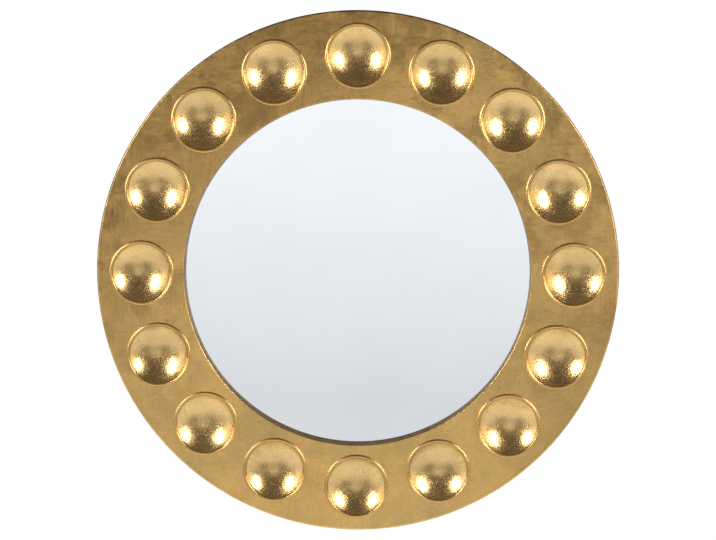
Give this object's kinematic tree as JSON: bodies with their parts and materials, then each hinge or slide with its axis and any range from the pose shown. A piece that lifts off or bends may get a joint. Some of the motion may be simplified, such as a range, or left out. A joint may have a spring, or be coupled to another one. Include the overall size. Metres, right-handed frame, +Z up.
{
  "type": "wall mirror",
  "caption": "Round wall mirror: a broad flat gilded ring with sixteen shallow hollow dishes round a flat glass, hung by D-rings.",
  "frame": {"origin": "centre of the wall plane that the four bumpers touch, behind the middle of the glass", "axes": "+Z up, -Y out of the wall towards the viewer, +X to the viewer's right"},
  "size_m": [0.8, 0.034, 0.8],
  "materials": {
    "gilded_frame": "gold leaf, satin, on fibreboard",
    "gilded_dish": "gold leaf, glossy, on spun sheet metal",
    "mirror_glass": "polished silvered glass",
    "foam": "closed-cell foam",
    "backing_board": "bare hardboard",
    "zinc_screws": "zinc plated",
    "plated_steel": "nickel plated",
    "bumper_rubber": "moulded, matt"
  },
  "bodies": {
    "frame": {"front_ring": "gilded_frame", "mirror_glass": "mirror_glass", "glass_gasket": "foam", "backing_board": "backing_board", "backing_screws": "zinc_screws", "dish_01": "gilded_dish", "dish_02": "gilded_dish", "dish_03": "gilded_dish", "dish_04": "gilded_dish", "dish_05": "gilded_dish", "dish_06": "gilded_dish", "dish_07": "gilded_dish", "dish_08": "gilded_dish", "dish_09": "gilded_dish", "dish_10": "gilded_dish", "dish_11": "gilded_dish", "dish_12": "gilded_dish", "dish_13": "gilded_dish", "dish_14": "gilded_dish", "dish_15": "gilded_dish", "dish_16": "gilded_dish", "hanger_strap_left": "plated_steel", "hanger_screws_left": "zinc_screws", "bumper_upper_left": "bumper_rubber", "bumper_lower_left": "bumper_rubber", "hanger_strap_right": "plated_steel", "hanger_screws_right": "zinc_screws", "bumper_upper_right": "bumper_rubber", "bumper_lower_right": "bumper_rubber"},
    "ring_left": {"hanger_ring_left": "plated_steel"},
    "ring_right": {"hanger_ring_right": "plated_steel"}
  },
  "joints": [
    {"name": "ring_swing_left", "type": "hinge", "parent": "frame", "child": "ring_left", "pos_m": [-0.18389, -0.00397, 0.29522], "axis": [-1, 0, 0], "range_deg": [0, 178]},
    {"name": "ring_swing_right", "type": "hinge", "parent": "frame", "child": "ring_right", "pos_m": [0.18389, -0.00397, 0.29522], "axis": [-1, 0, 0], "range_deg": [0, 178]}
  ]
}
